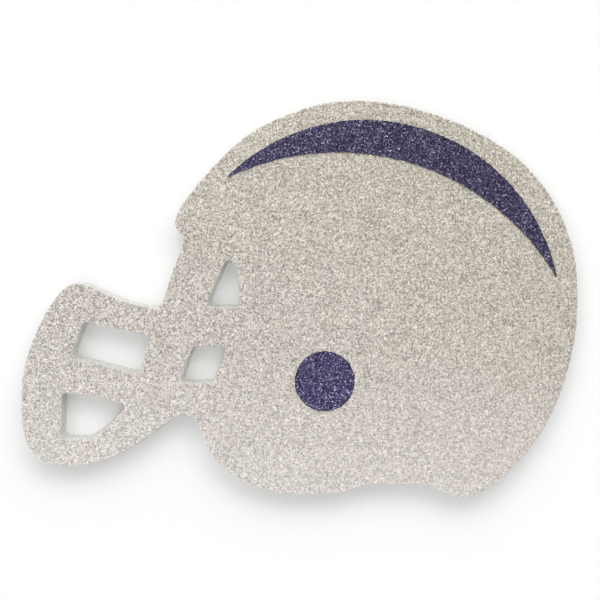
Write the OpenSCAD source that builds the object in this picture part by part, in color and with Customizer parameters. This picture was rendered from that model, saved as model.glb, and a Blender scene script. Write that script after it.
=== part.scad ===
// Football helmet cut-out: a flat table or wall decoration, seen from its left side.
// A thick foam sheet is die-cut to the helmet's outline, with the gaps of the face mask cut
// through it. A silver glitter sheet covers its face, and two indigo glitter pieces, a crescent
// stripe and a round ear disc, are glued on top.
// X runs from the face mask to the back of the helmet, Y up to the crown, and Z out of the
// glitter face. The plain back lies on Z = 0, and the origin is at the middle of the outline.

/* [Foam] */
// Thickness of the foam sheet
foam_thickness = 5; // [3:0.5:10]
// How far the cut wall spreads outwards from the glitter face down to the back
cut_flare = 0.9; // [0.3:0.1:1]

/* [Glitter sheets] */
// Thickness of the silver glitter sheet
face_thickness = 0.4; // [0.2:0.1:0.8]
// Thickness of the two indigo glitter pieces
trim_thickness = 0.4; // [0.2:0.1:0.8]

/* [Crescent stripe] */
// Radius of the stripe's upper edge
stripe_outer_r = 52.8; // [52:0.1:53.5]
// Radius of the stripe's lower edge
stripe_inner_r = 68.5; // [68:0.1:69.5]

/* [Ear disc] */
// Radius of the ear disc
ear_disc_r = 8.1; // [5:0.1:12]

/* [Smoothness] */
// Straight pieces that stand for the curve between two points of the outline
curve_steps = 4; // [2:1:8]
// Straight pieces that stand for one rounded corner of a gap
corner_steps = 5; // [3:1:8]

/* [Hidden] */
$fn = 96;

// Points on the edge of the glitter face, clockwise from the brow over the crown.
SHELL_POINTS = [
  [-33.5, 20.0], [-32.5, 23.1], [-28.8, 28.4], [-24.5, 33.4], [-17.8, 40.3], [-11.5, 45.0],
  [-3.5, 48.8], [5.5, 51.7], [15.3, 52.7], [24.9, 51.9], [34.2, 49.7], [43.3, 46.4],
  [52.0, 41.9], [60.1, 36.0], [66.6, 28.5], [71.4, 19.6], [74.2, 10.0], [74.9, 0.1],
  [74.4, -9.6], [72.4, -19.4], [69.2, -28.6], [64.6, -37.5], [58.7, -45.0], [53.1, -50.1],
];
FOOT_AND_NECK_POINTS = [
  [48.9, -52.9], [44.8, -54.0], [41.2, -53.5], [37.1, -51.6], [33.6, -50.6], [26.3, -50.4],
  [19.0, -50.6], [15.8, -51.2], [13.2, -52.3], [10.1, -52.8],
];
JAW_POINTS = [
  [4.7, -53.1], [-0.7, -53.1], [-5.3, -52.7], [-10.1, -51.6], [-15.1, -49.7], [-19.6, -46.7],
  [-23.4, -42.7], [-25.8, -37.9], [-27.1, -34.4],
];
MASK_POINTS = [
  [-28.4, -32.5], [-30.5, -31.8], [-32.8, -32.3], [-36.0, -34.0], [-40.6, -37.3],
  [-45.2, -40.4], [-49.9, -42.7], [-54.7, -44.5], [-59.5, -45.4], [-64.3, -45.5],
  [-67.9, -44.8], [-70.9, -43.1], [-73.2, -40.0], [-74.5, -35.5], [-74.9, -29.3],
  [-74.7, -22.5], [-73.2, -15.9], [-70.9, -9.7], [-67.9, -3.8], [-64.4, 1.1], [-61.7, 3.0],
  [-59.3, 3.3], [-56.6, 2.4], [-52.5, 0.5], [-46.3, -1.9], [-40.4, -3.2], [-38.3, -3.2],
  [-37.0, -1.9], [-34.8, 4.7], [-31.5, 13.8], [-31.1, 15.3], [-31.7, 16.6], [-33.1, 18.4],
];
OUTLINE_POINTS = concat(SHELL_POINTS, FOOT_AND_NECK_POINTS, JAW_POINTS, MASK_POINTS);

// Corners of the gaps at the glitter face, each as [x, y, rounding radius], clockwise.
UPPER_MASK_GAP = [[-58.4, -6.6, 1.5], [-40.0, -10.8, 1.5], [-43.5, -21.1, 1.5], [-61.9, -16.5, 1.5]];
LOWER_MASK_GAP = [[-64.3, -25.8, 1.0], [-57.0, -26.6, 8.0], [-46.1, -29.2, 1.0],
                  [-52.0, -35.5, 8.0], [-56.5, -38.5, 3.0], [-64.5, -38.5, 1.2]];
LOWER_EYE_GAP = [[-29.0, -13.4, 0.9], [-19.3, -13.2, 1.2], [-23.2, -23.4, 1.2], [-32.6, -23.5, 0.9]];
UPPER_EYE_GAP = [[-19.2, 11.7, 1.2], [-16.2, 5.0, 3.0], [-16.1, -3.0, 1.2], [-25.6, -3.0, 1.2]];
GAPS = [UPPER_MASK_GAP, LOWER_MASK_GAP, LOWER_EYE_GAP, UPPER_EYE_GAP];

// Centres of the two circles between which the crescent stripe lies.
STRIPE_OUTER_CENTRE = [17.7, -5.15];
STRIPE_INNER_CENTRE = [10.3, -29.6];
EAR_DISC_CENTRE = [6.8, -22.9];

// Smallest rounding that the cutting knife leaves in a corner.
smallest_corner_r = 0.3;
face_top = foam_thickness + face_thickness;

// ---- Curves ----

// Distance between two points, square-rooted, which spaces a curve's knots.
function knot_gap(a, b) = sqrt(norm(b - a));

function blend(a, b, ta, tb, t) = (a * (tb - t) + b * (t - ta)) / (tb - ta);

// Point of a smooth curve between b and c, at the fraction f of the way, with neighbours a and d.
function curve_point(a, b, c, d, f) =
  let (tb = knot_gap(a, b), tc = tb + knot_gap(b, c), td = tc + knot_gap(c, d))
  let (t = tb + f * (tc - tb))
  let (ab = blend(a, b, 0, tb, t), bc = blend(b, c, tb, tc, t), cd = blend(c, d, tc, td, t))
  blend(blend(ab, bc, 0, tc, t), blend(bc, cd, tb, td, t), tb, tc, t);

// Closed smooth curve through all the points.
function smooth_loop(points) =
  let (count = len(points))
  [for (i = [0 : count - 1]) for (s = [0 : curve_steps - 1])
    curve_point(points[(i + count - 1) % count], points[i], points[(i + 1) % count],
                points[(i + 2) % count], s / curve_steps)];

function unit(v) = v / norm(v);

// Direction square to the left of v.
function left_of(v) = [-v[1], v[0]];

// Closed clockwise loop moved outwards by a distance, point by point.
function grown(loop, distance) =
  let (count = len(loop))
  [for (i = [0 : count - 1])
    let (before = unit(loop[i] - loop[(i + count - 1) % count]))
    let (after = unit(loop[(i + 1) % count] - loop[i]))
    let (middle = unit(left_of(before + after)))
    loop[i] + middle * distance / (middle * left_of(after))];

// The two straight sides at a corner turn into an arc of the given radius.
function corner_arc(before, corner, after, radius) =
  let (to_before = unit(before - corner), to_after = unit(after - corner))
  let (half_angle = acos(to_before * to_after) / 2)
  let (centre = corner + unit(to_before + to_after) * radius / sin(half_angle))
  let (start = corner + to_before * radius / tan(half_angle) - centre)
  let (turn = -(180 - 2 * half_angle))
  [for (s = [0 : corner_steps])
    let (angle = turn * s / corner_steps)
    centre + [start[0] * cos(angle) - start[1] * sin(angle),
              start[0] * sin(angle) + start[1] * cos(angle)]];

// A gap's loop of corners, shrunk by a distance at every side, then rounded.
function gap_loop(gap, shrink) =
  let (count = len(gap), corners = grown([for (c = gap) [c[0], c[1]]], -shrink))
  [for (i = [0 : count - 1])
    each corner_arc(corners[(i + count - 1) % count], corners[i], corners[(i + 1) % count],
                    max(gap[i][2] - shrink, smallest_corner_r))];

// ---- Centring ----
back_outline = grown(smooth_loop(OUTLINE_POINTS), cut_flare);
xs = [for (p = back_outline) p[0]];
ys = [for (p = back_outline) p[1]];
centre_shift = -[min(xs) + max(xs), min(ys) + max(ys)] / 2;

// ---- Sub-parts ----

// Sheet of the helmet's shape with its gaps, spread beyond the glitter face's edge by a distance.
module helmet_sheet(spread, thickness) {
  linear_extrude(height = thickness)
    translate(centre_shift)
      difference() {
        polygon(grown(smooth_loop(OUTLINE_POINTS), spread));
        for (gap = GAPS) polygon(gap_loop(gap, spread));
      }
}

module foam_core() {
  color([0.82, 0.84, 0.80])
    helmet_sheet(cut_flare, foam_thickness);
}

module silver_glitter_face() {
  color([0.79, 0.76, 0.72])
    translate([0, 0, foam_thickness])
      helmet_sheet(0, face_thickness);
}

module crescent_stripe() {
  color([0.29, 0.26, 0.38])
    translate([0, 0, face_top])
      linear_extrude(height = trim_thickness)
        translate(centre_shift)
          difference() {
            translate(STRIPE_OUTER_CENTRE) circle(r = stripe_outer_r);
            translate(STRIPE_INNER_CENTRE) circle(r = stripe_inner_r);
          }
}

module ear_disc() {
  color([0.29, 0.26, 0.38])
    translate([0, 0, face_top])
      translate(concat(centre_shift + EAR_DISC_CENTRE, [0]))
        cylinder(h = trim_thickness, r = ear_disc_r);
}

foam_core();
silver_glitter_face();
crescent_stripe();
ear_disc();
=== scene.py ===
"""Looks of the football helmet cut-out: a die-cut foam helmet with glued glitter sheets.

It lies on a white floor, glitter side up, and the camera looks straight down on it.
Every length is in metres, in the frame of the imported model.
"""

import math

import bmesh
import bpy
import numpy as np
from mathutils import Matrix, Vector
from mathutils.geometry import delaunay_2d_cdt
from mathutils.kdtree import KDTree


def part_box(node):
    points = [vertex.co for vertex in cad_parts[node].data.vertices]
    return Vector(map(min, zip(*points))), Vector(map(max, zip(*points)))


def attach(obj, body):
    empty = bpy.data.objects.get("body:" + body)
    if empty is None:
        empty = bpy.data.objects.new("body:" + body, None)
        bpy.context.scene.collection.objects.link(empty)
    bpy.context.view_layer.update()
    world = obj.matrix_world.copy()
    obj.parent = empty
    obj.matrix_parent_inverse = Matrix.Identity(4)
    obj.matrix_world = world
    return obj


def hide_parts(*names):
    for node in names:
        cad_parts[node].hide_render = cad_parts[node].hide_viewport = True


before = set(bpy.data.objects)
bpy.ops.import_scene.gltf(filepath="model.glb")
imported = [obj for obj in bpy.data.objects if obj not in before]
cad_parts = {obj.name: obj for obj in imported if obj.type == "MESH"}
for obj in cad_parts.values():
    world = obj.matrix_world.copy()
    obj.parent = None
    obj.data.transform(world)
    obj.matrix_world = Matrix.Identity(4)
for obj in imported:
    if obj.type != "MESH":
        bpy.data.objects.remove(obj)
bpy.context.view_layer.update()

MM = 0.001
WELD = 0.001 * MM
BODY = "root"
INSIDE_WITHOUT_HOLES = 2  # the kind of output asked of delaunay_2d_cdt

foam_low, foam_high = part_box("foam_core")
face_low, face_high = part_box("silver_glitter_face")
cut_flare = foam_high.x - face_high.x  # how far the foam's back stands out past the face
cut_lean = np.array([0.3, 0.3]) * MM  # how far the knife leans from the face down to the back
loop_spacing = 0.45 * MM  # between the points of the foam's and the face's loops
flake_size = 0.34 * MM


# ---- Loops: closed rows of x and y, with the material on the left of the way they run ----


def signed_area(loop):
    after = np.roll(loop, -1, axis=0)
    return 0.5 * np.sum(loop[:, 0] * after[:, 1] - after[:, 0] * loop[:, 1])


def node_loops(node, level):
    """The loops where a CAD node's flat face at that height meets its walls, the outline first."""
    mesh = bmesh.new()
    mesh.from_mesh(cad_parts[node].data)
    bmesh.ops.remove_doubles(mesh, verts=mesh.verts, dist=WELD)
    neighbours = {}
    for edge in mesh.edges:
        on_level = all(abs(corner.co.z - level) < WELD for corner in edge.verts)
        flat_sides = sum(abs(side.normal.z) > 0.5 for side in edge.link_faces)
        if on_level and flat_sides == 1:
            for corner in edge.verts:
                neighbours.setdefault(corner, []).append(edge.other_vert(corner))
    loops = []
    while neighbours:
        start, (step, _) = neighbours.popitem()
        walk = [start]
        while step != start:
            one, other = neighbours.pop(step)
            came_from = walk[-1]
            walk.append(step)
            step = other if one == came_from else one
        loops.append(np.array([corner.co.xy for corner in walk]))
    mesh.free()
    loops.sort(key=lambda loop: -abs(signed_area(loop)))
    for index, loop in enumerate(loops):
        is_outline = index == 0
        if (signed_area(loop) > 0) != is_outline:
            loops[index] = loop[::-1]
    return loops


def even_loop(loop, spacing):
    """The same loop with evenly spaced points."""
    closed = np.vstack([loop, loop[:1]])
    steps = np.linalg.norm(np.diff(closed, axis=0), axis=1)
    along = np.concatenate([[0.0], np.cumsum(steps)])
    places = np.linspace(0.0, along[-1], round(along[-1] / spacing), endpoint=False)
    return np.column_stack([np.interp(places, along, closed[:, axis]) for axis in (0, 1)])


def softened(loop, rounds):
    """The same loop with its corners eased."""
    for _ in range(rounds):
        loop = (np.roll(loop, 1, axis=0) + 2 * loop + np.roll(loop, -1, axis=0)) / 4
    return loop


def outward(loop):
    """Directions away from the material, one for each point."""
    along = np.roll(loop, -1, axis=0) - np.roll(loop, 1, axis=0)
    side = np.column_stack([along[:, 1], -along[:, 0]])
    return side / np.linalg.norm(side, axis=1, keepdims=True)


def ripple(count, waves, rng):
    """Smooth random numbers round a loop of that many points, mostly from -1 to 1."""
    turns = np.arange(count) / count * 2 * math.pi
    total = np.zeros(count)
    for wave in range(1, waves + 1):
        total += rng.normal() * np.cos(wave * turns + rng.uniform(0, 2 * math.pi))
    return total / math.sqrt(2 * waves)


def wavy(loop, rng):
    """The same loop with the small slow waves of a sheet cut by hand."""
    height = 0.05 * MM
    points_per_wave = 10
    waves = ripple(len(loop), len(loop) // points_per_wave, rng)[:, None]
    return loop + outward(loop) * waves * height


# ---- Meshes ----


def filled(loops, inner_points=()):
    """Points and triangles of the space between the loops. The loops' points come first, in order."""
    corners = [Vector(point) for loop in loops for point in loop]
    corners += [Vector(point) for point in inner_points]
    starts = np.cumsum([0] + [len(loop) for loop in loops])
    rings = [list(range(first, end)) for first, end in zip(starts[:-1], starts[1:])]
    nearly_zero = 1e-12
    made = delaunay_2d_cdt(corners, [], rings, INSIDE_WITHOUT_HOLES, nearly_zero)
    triangles = np.array(made[2])
    used, renumbered = np.unique(triangles, return_inverse=True)
    return np.array(made[0])[used], renumbered.reshape(triangles.shape)


def wall(loops, low_start, high_start):
    """Quads between two copies of the loops, whose points start at those places in the mesh."""
    quads = []
    for loop in loops:
        here = np.arange(len(loop))
        after = np.roll(here, -1)
        quads.append(np.column_stack([low_start + here, low_start + after,
                                      high_start + after, high_start + here]))
        low_start += len(loop)
        high_start += len(loop)
    return np.vstack(quads)


def at_height(points, height):
    return np.column_stack([points, np.broadcast_to(height, len(points))])


def make_piece(name, points, faces, smooth, crust, node):
    """A new piece that stands for a CAD node.

    Each face keeps three random numbers, and each point how far in it lies: 0 at the edge, and 1
    beyond its rounding."""
    mesh = bpy.data.meshes.new(name)
    mesh.from_pydata(points.tolist(), [], [face for group in faces for face in group.tolist()])
    mesh.polygons.foreach_set("use_smooth", np.repeat(smooth, [len(group) for group in faces]))
    mesh.set_sharp_from_angle(angle=math.radians(40))
    flake = mesh.attributes.new("flake", "FLOAT_VECTOR", "FACE")
    flake.data.foreach_set("vector", np.random.default_rng(len(points)).random(3 * len(mesh.polygons)))
    inner = mesh.attributes.new("crust", "FLOAT", "POINT")
    inner.data.foreach_set("value", np.broadcast_to(crust, len(points)).astype(np.float32))
    piece = bpy.data.objects.new(name, mesh)
    bpy.context.scene.collection.objects.link(piece)
    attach(piece, BODY)
    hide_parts(node)
    return piece


def lattice(low, high, spacing, rng):
    """Points of a triangular lattice between two corners, each nudged by chance."""
    row_spacing = spacing * math.sqrt(0.75)
    x, y = np.meshgrid(np.arange(low.x, high.x, spacing), np.arange(low.y, high.y, row_spacing))
    x[1::2] += spacing / 2
    most = 0.3  # how far a point is nudged, as a share of the spacing
    nudge = rng.uniform(-most, most, (2, *x.shape)) * spacing
    return np.column_stack([(x + nudge[0]).ravel(), (y + nudge[1]).ravel()])


def edge_distances(points, loops):
    """How far each point lies from the nearest loop."""
    mark_spacing = 0.1 * MM
    marks = np.vstack([even_loop(loop, mark_spacing) for loop in loops])
    tree = KDTree(len(marks))
    for index, (x, y) in enumerate(marks):
        tree.insert((x, y, 0), index)
    tree.balance()
    return np.array([tree.find((x, y, 0))[2] for x, y in points])


def glitter_sheet(name, loops, low, high, facet, rim, rng):
    """A closed sheet with a crust of flat facets on top, each tilted by chance, and a ragged edge.

    facet is the size of a facet, and rim the width of the edge's rounding."""
    edge_spacing = 0.8 * facet  # between the points of the edge
    ragged = 0.22 * facet  # the most that chance moves such a point
    rim_clearance = 0.8 * rim  # points of the rim that a tight bend brings nearer to the edge are left out
    crust_clearance = rim + 0.5 * facet
    drop = 0.25 * rim  # how far below the crust the edge lies
    bump_share = 0.12  # the height of the facets' corners, as a share of a facet
    edge_bumps = 0.3  # how much of that height is left at the edge
    edges = []
    for loop in loops:
        even = even_loop(loop, edge_spacing)
        edges.append(even + outward(even) * rng.uniform(-ragged, ragged, (len(even), 1)))
    rim_points = np.vstack([loop - outward(loop) * rim for loop in edges])
    rim_points = rim_points[edge_distances(rim_points, edges) > rim_clearance]
    crust_points = lattice(low, high, facet, rng)
    crust_points = crust_points[edge_distances(crust_points, edges) > crust_clearance]
    top, top_triangles = filled(edges, np.vstack([rim_points, crust_points]))
    bottom, bottom_triangles = filled(edges)

    rounding = np.clip(edge_distances(top, edges) / rim, 0, 1)
    bump = rng.uniform(-1, 1, len(top)) * facet * bump_share
    bump *= edge_bumps + (1 - edge_bumps) * rounding
    height = high.z - drop * (1 - np.sin(rounding * math.pi / 2)) + bump
    points = np.vstack([at_height(bottom, low.z), at_height(top, height)])
    faces = [bottom_triangles[:, ::-1], wall(edges, 0, len(bottom)), top_triangles + len(bottom)]
    crust = np.concatenate([np.zeros(len(bottom)), rounding])
    return make_piece(name + "_sheet", points, faces, [False, False, False], crust, name)


def foam_sheet(loops, rng):
    """The foam, with the wall that a cutting knife leaves: it leans and spreads a little towards the
    back, is hollow half way down, and is dragged in streaks."""
    ring_count = 15
    points_per_wave = 5
    pinch = 0.1 * MM  # the depth of the hollow
    streak = 0.05 * MM  # the depth of the streaks
    worn_edge = 0.12 * MM  # how far the edge of the back is worn off
    curl = 1.3  # the wall spreads faster towards the back when this is over 1
    loops = [softened(even_loop(loop, loop_spacing), rounds=2) for loop in loops]
    waves = [ripple(len(loop), len(loop) // points_per_wave, rng)[:, None] for loop in loops]
    sides = [outward(loop) for loop in loops]
    rings = []
    for share in np.linspace(0, 1, ring_count):
        spread = (cut_flare - cut_lean[0]) * (1 - share) ** curl - pinch * math.sin(share * math.pi)
        worn = worn_edge if share == 0 else 0.0
        depth = streak * math.sin(share * math.pi) ** 0.5
        ring = [loop + cut_lean * (1 - share) + side * (spread - worn + depth * wave)
                for loop, side, wave in zip(loops, sides, waves)]
        height = foam_low.z + share * (foam_high.z - foam_low.z)
        rings.append((ring, height))
    points = np.vstack([at_height(np.vstack(ring), height) for ring, height in rings])
    step = sum(len(loop) for loop in loops)
    walls = [wall(loops, step * index, step * (index + 1)) for index in range(ring_count - 1)]
    bottom_triangles = filled(rings[0][0])[1]
    top_triangles = filled(rings[-1][0])[1]
    faces = [bottom_triangles[:, ::-1], *walls, top_triangles + step * (ring_count - 1)]
    smooth = [False] + [True] * len(walls) + [False]
    return make_piece("foam_sheet", points, faces, smooth, 1.0, "foam_core")


# ---- Materials ----


def add(tree, kind, inputs=(), **settings):
    """A new node. Inputs pairs each socket's name or number with a value or with what feeds it."""
    made = tree.nodes.new(kind)
    for name, value in settings.items():
        setattr(made, name, value)
    for name, value in dict(inputs).items():
        if isinstance(value, bpy.types.NodeSocket):
            tree.links.new(value, made.inputs[name])
        else:
            made.inputs[name].default_value = value
    return made


def maths(tree, operation, first, second=0.0):
    return add(tree, "ShaderNodeMath", {0: first, 1: second}, operation=operation).outputs[0]


def average(tree, first, second):
    return maths(tree, "MULTIPLY", maths(tree, "ADD", first, second), 0.5)


def vector_maths(tree, operation, first, second=(0, 0, 0), output="Vector"):
    made = add(tree, "ShaderNodeVectorMath", {0: first, 1: second}, operation=operation)
    return made.outputs[output]


def scaled(tree, vector, amount):
    return add(tree, "ShaderNodeVectorMath", {0: vector, "Scale": amount}, operation="SCALE").outputs[0]


def parts(tree, vector):
    """The vector's X, Y and Z."""
    return add(tree, "ShaderNodeSeparateXYZ", {0: vector}).outputs


def noise(tree, place, size, detail=2.0):
    sockets = {"Vector": place, "Scale": 1 / size, "Detail": detail}
    return add(tree, "ShaderNodeTexNoise", sockets).outputs[0]


def cells(tree, place, size, output, **settings):
    sockets = {"Vector": place, "Scale": 1 / size}
    return add(tree, "ShaderNodeTexVoronoi", sockets, **settings).outputs[output]


def ramp(tree, value, stops):
    """A colour that goes through the stops, each a place and a linear colour, as the value rises."""
    made = add(tree, "ShaderNodeValToRGB", {"Fac": value})
    elements = made.color_ramp.elements
    while len(elements) < len(stops):
        elements.new(0.5)
    for element, (place, colour) in zip(elements, stops):
        element.position = place
        element.color = (*colour, 1)
    return made.outputs["Color"]


def stretched(tree, value, low, high, new_low=0.0, new_high=1.0):
    """The value moved from one range to another, and held inside it."""
    sockets = {"Value": value, "From Min": low, "From Max": high, "To Min": new_low, "To Max": new_high}
    return add(tree, "ShaderNodeMapRange", sockets).outputs["Result"]


def mixed(tree, share, first, second, blend="MIX"):
    """A blend of two colours. The sockets go by number, because the node has several of each name."""
    made = add(tree, "ShaderNodeMix", {0: share, 6: first, 7: second}, data_type="RGBA", blend_type=blend)
    return made.outputs[2]


def tinted(tree, colour, tint):
    return mixed(tree, 1.0, colour, tint, "MULTIPLY")


def new_material(name):
    """A material with only an output and a Principled shader, which it returns too."""
    material = bpy.data.materials.new(name)
    material.use_nodes = True
    tree = material.node_tree
    tree.nodes.clear()
    shader = tree.nodes.new("ShaderNodeBsdfPrincipled")
    output = tree.nodes.new("ShaderNodeOutputMaterial")
    tree.links.new(shader.outputs[0], output.inputs["Surface"])
    return material, tree, shader


def glitter(name, shades, hues, crown_shade, foot_sheen, painted_edge_colour, painted_edge_share, tilt, roughness, metallic):
    """Metal flakes: each has a shade, a hue and a tilt of its own, with dark cracks between them.

    shades are the ramp's stops from the dullest flake to the brightest, and hues the two tints
    between which the flakes vary. crown_shade is painted shade, darker and yellower towards the crown,
    foot_sheen is how much pale painted sheen lies over the foot, and painted_edge_share how much of
    painted_edge_colour, painted light along the rounded edge, shows in the cut edge."""
    white = (1, 1, 1, 1)
    # painted sheen: the pale colour laid over the foot in place of the extra light falling there
    sheen_colour = (0.95, 0.90, 0.87, 1)
    sheen_top = -12 * MM
    sheen_foot = -52 * MM
    shade_climb = (4.0, 9.0, 0.0)  # how much the painted shade grows for each metre along X, Y and Z
    drift_size = 45 * MM
    drift_share = 0.5
    crack_width = 0.08  # as a share of a flake
    crack_shade = 0.55

    material, tree, shader = new_material(name)
    place = add(tree, "ShaderNodeTexCoord").outputs["Object"]
    facet = add(tree, "ShaderNodeAttribute", attribute_name="flake").outputs["Vector"]
    cell = cells(tree, place, flake_size, "Color")
    crack = cells(tree, place, flake_size, "Distance", feature="DISTANCE_TO_EDGE")
    facet_parts = parts(tree, facet)
    cell_parts = parts(tree, cell)

    shade = average(tree, facet_parts["X"], cell_parts["X"])
    colour = ramp(tree, shade, shades)
    hue = stretched(tree, average(tree, facet_parts["Y"], cell_parts["Z"]), 0.3, 0.7)
    colour = tinted(tree, colour, mixed(tree, hue, (*hues[0], 1), (*hues[1], 1)))

    drift = noise(tree, place, drift_size, detail=1.0)
    drift = maths(tree, "MULTIPLY", maths(tree, "SUBTRACT", drift, 0.5), drift_share)
    # painted shade: the colour darkens and yellows towards the crown in place of how the light falls, on
    # top of a random drift of tone
    climb = vector_maths(tree, "DOT_PRODUCT", place, shade_climb, output="Value")
    crown_shade_and_drift = stretched(tree, maths(tree, "ADD", climb, drift), -0.5, 0.5)
    colour = tinted(tree, colour, mixed(tree, crown_shade_and_drift, white, (*crown_shade, 1)))
    # painted sheen: the colour pales towards the foot, light painted into the colour
    painted_sheen = stretched(tree, parts(tree, place)["Y"], sheen_top, sheen_foot, 0.0, foot_sheen)
    colour = mixed(tree, painted_sheen, colour, sheen_colour)
    crust = add(tree, "ShaderNodeAttribute", attribute_name="crust").outputs["Fac"]
    # painted light along the rounded edge: the rim takes a colour of its own, a pale painted highlight on
    # the silver and dark painted shade on the trims
    edge = stretched(tree, crust, 0.0, 1.0, painted_edge_share, 0.0)
    colour = mixed(tree, edge, colour, (*painted_edge_colour, 1))
    colour = tinted(tree, colour, stretched(tree, crack, 0.0, crack_width, crack_shade, 1.0))
    tree.links.new(colour, shader.inputs["Base Color"])

    normal = add(tree, "ShaderNodeNewGeometry").outputs["Normal"]
    lean = scaled(tree, vector_maths(tree, "SUBTRACT", cell, (0.5, 0.5, 0.5)), tilt)
    leaning = vector_maths(tree, "NORMALIZE", vector_maths(tree, "ADD", normal, lean))
    tree.links.new(leaning, shader.inputs["Normal"])
    tree.links.new(stretched(tree, cell_parts["Y"], 0.0, 1.0, *roughness), shader.inputs["Roughness"])
    shader.inputs["Metallic"].default_value = metallic
    return material


def cut_foam():
    """Pale foam with fine cells, streaked down the cut wall. Stray flakes of glitter cling to it, most
    near the face."""
    mottle_size = 1.5 * MM
    streak_size = 0.5 * MM
    streak_squeeze = 0.15  # streaks are longer down the wall than across it by 1 over this
    cell_size = 0.18 * MM
    stray_size = 0.35 * MM
    clean_at_back = 0.93
    clean_at_face = 0.62
    flake_gloss = 0.4  # how much smoother a flake is than the foam

    material, tree, shader = new_material("cut_foam")
    place = add(tree, "ShaderNodeTexCoord").outputs["Object"]
    mapping = {"Vector": place, "Scale": (1, 1, streak_squeeze)}
    streaked = add(tree, "ShaderNodeMapping", mapping).outputs[0]
    mottle = noise(tree, place, mottle_size, detail=4.0)
    streaks = noise(tree, streaked, streak_size)
    pores = cells(tree, place, cell_size, "Distance")
    stops = [(0.35, (0.62, 0.63, 0.597)), (0.65, (0.75, 0.76, 0.716))]
    colour = ramp(tree, average(tree, mottle, streaks), stops)
    colour = tinted(tree, colour, stretched(tree, pores, 0.1, 0.5, 1.0, 0.88))

    stray_parts = parts(tree, cells(tree, place, stray_size, "Color"))
    height = parts(tree, place)["Z"]
    clean_share = stretched(tree, height, foam_low.z, foam_high.z, clean_at_back, clean_at_face)
    is_flake = maths(tree, "GREATER_THAN", stray_parts["X"], clean_share)
    flake = ramp(tree, stray_parts["Y"], [(0.0, (0.36, 0.34, 0.31)), (1.0, (0.92, 0.88, 0.84))])
    tree.links.new(mixed(tree, is_flake, colour, flake), shader.inputs["Base Color"])

    relief = {"Height": maths(tree, "ADD", pores, streaks), "Strength": 0.5, "Distance": 0.06 * MM}
    bump = add(tree, "ShaderNodeBump", relief).outputs[0]
    tree.links.new(bump, shader.inputs["Normal"])
    rough = stretched(tree, mottle, 0.0, 1.0, 0.7, 0.95)
    rough = maths(tree, "SUBTRACT", rough, maths(tree, "MULTIPLY", is_flake, flake_gloss))
    tree.links.new(rough, shader.inputs["Roughness"])
    return material


def white_floor():
    material, tree, shader = new_material("white_floor")
    shader.inputs["Base Color"].default_value = (0.88, 0.88, 0.88, 1)
    shader.inputs["Roughness"].default_value = 0.9
    return material


# ---- The pieces ----

rng = np.random.default_rng(7)
face_loops = node_loops("silver_glitter_face", face_low.z)
face_loops = [softened(even_loop(loop, loop_spacing), rounds=2) for loop in face_loops]

foam = foam_sheet(face_loops, rng)
foam.data.materials.append(cut_foam())

silver = glitter(
    "silver_glitter",
    shades=[(0.12, (0.26, 0.24, 0.22)), (0.5, (0.58, 0.54, 0.50)), (0.88, (0.95, 0.90, 0.85))],
    hues=((1.02, 0.99, 0.98), (0.98, 1.0, 1.02)),
    # painted shade, darker and yellower towards the crown
    crown_shade=(0.965, 0.96, 0.885),
    # painted sheen over the foot
    foot_sheen=0.24,
    # a pale painted highlight along the rounded edge
    painted_edge_colour=(0.85, 0.82, 0.78),
    painted_edge_share=0.35,
    tilt=0.35,
    roughness=(0.3, 0.55),
    metallic=0.6,
)
outline, *gaps = face_loops
overhang = 0.15 * MM  # how far the flakes stand out past the foam round the outline
silver_loops = [outline + outward(outline) * overhang, *gaps]
silver_sheet = glitter_sheet("silver_glitter_face", silver_loops, face_low, face_high,
                             facet=0.5 * MM, rim=0.3 * MM, rng=rng)
silver_sheet.data.materials.append(silver)

indigo = glitter(
    "indigo_glitter",
    # the brightest stop is partly painted glints: its pale lavender flakes stand for flakes catching the
    # light, on top of each flake's own random shade
    shades=[(0.1, (0.018, 0.015, 0.036)), (0.5, (0.066, 0.058, 0.127)),
            (0.75, (0.18, 0.163, 0.30)), (0.92, (0.66, 0.63, 0.85))],
    hues=((0.98, 0.94, 1.2), (1.1, 1.08, 1.04)),
    # painted shade, darker and yellower towards the crown
    crown_shade=(0.86, 0.88, 0.74),
    foot_sheen=0.0,
    # dark painted shade along the rounded edge
    painted_edge_colour=(0.010, 0.009, 0.015),
    painted_edge_share=0.75,
    tilt=0.3,
    roughness=(0.25, 0.5),
    metallic=1.0,
)
trim_spacing = 0.3 * MM
for trim in ("crescent_stripe", "ear_disc"):
    low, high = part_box(trim)
    trim_loops = [even_loop(loop, trim_spacing) for loop in node_loops(trim, low.z)]
    trim_loops = [wavy(softened(loop, rounds=8), rng) for loop in trim_loops]
    sheet = glitter_sheet(trim, trim_loops, low, high,
                          facet=0.4 * MM, rim=0.25 * MM, rng=rng)
    sheet.data.materials.append(indigo)


# ---- Floor, light and camera ----

reach = 3.0  # from the floor's middle to each side
floor_corners = [(-reach, -reach, 0), (reach, -reach, 0), (reach, reach, 0), (-reach, reach, 0)]
floor_mesh = bpy.data.meshes.new("floor")
floor_mesh.from_pydata(floor_corners, [], [(0, 1, 2, 3)])
floor = bpy.data.objects.new("floor", floor_mesh)
below_foam = 0.02 * MM  # keeps the floor clear of the foam's back
floor.location.z = foam_low.z - below_foam
floor_mesh.materials.append(white_floor())
bpy.context.scene.collection.objects.link(floor)


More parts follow.
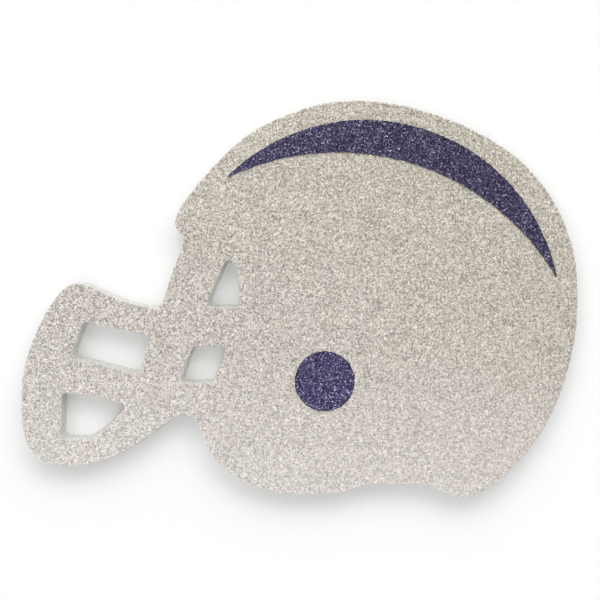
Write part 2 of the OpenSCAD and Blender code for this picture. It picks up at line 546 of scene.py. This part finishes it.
def direction(azimuth, elevation):
    """The way towards a light, with azimuth anticlockwise from +X, in degrees."""
    azimuth, elevation = math.radians(azimuth), math.radians(elevation)
    return Vector((math.cos(azimuth) * math.cos(elevation), math.sin(azimuth) * math.cos(elevation),
                   math.sin(elevation)))


def soft_room():
    """A room of broad soft lights: three beyond the crown, two dim ones beyond the foot, and two
    overhead. A pale wall stands all round, up to a little above the floor.

    Each light has an azimuth and an elevation in degrees, and a brightness."""
    lights = [(90, 35, 3.1), (45, 35, 2.6), (135, 35, 1.8), (225, 35, 0.65), (315, 35, 0.8),
              (180, 62, 1.2), (270, 62, 1.8)]
    narrowness = 12.0
    wall_full = 0.12  # the wall is at its brightest in ways that rise less than this
    wall_gone = 0.26  # and it is gone in ways that rise more than this
    room = bpy.data.worlds.new("soft_room")
    room.use_nodes = True
    tree = room.node_tree
    way = add(tree, "ShaderNodeTexCoord").outputs["Generated"]
    strength = 0.0
    for azimuth, elevation, brightness in lights:
        facing = vector_maths(tree, "DOT_PRODUCT", way, direction(azimuth, elevation), output="Value")
        glow = maths(tree, "POWER", maths(tree, "MAXIMUM", facing, 0.0), narrowness)
        strength = maths(tree, "ADD", maths(tree, "MULTIPLY", glow, brightness), strength)
    rise = parts(tree, way)["Z"]
    wall_glow = stretched(tree, rise, wall_full, wall_gone, 1.0, 0.0)
    strength = maths(tree, "MAXIMUM", strength, wall_glow)
    tree.links.new(strength, tree.nodes["Background"].inputs["Strength"])
    tree.nodes["Background"].inputs["Color"].default_value = (1, 1, 1, 1)
    return room


bpy.context.scene.world = soft_room()

camera_height = 480 * MM
view_width = 162 * MM
view_middle = (0.15 * MM, -0.3 * MM)
lens = bpy.data.cameras.new("camera")
lens.sensor_width = 36
lens.lens = lens.sensor_width * camera_height / view_width
camera = bpy.data.objects.new("camera", lens)
camera.location = (*view_middle, face_high.z + camera_height)
bpy.context.scene.collection.objects.link(camera)
bpy.context.scene.camera = camera
bpy.context.scene.view_settings.view_transform = "Standard"
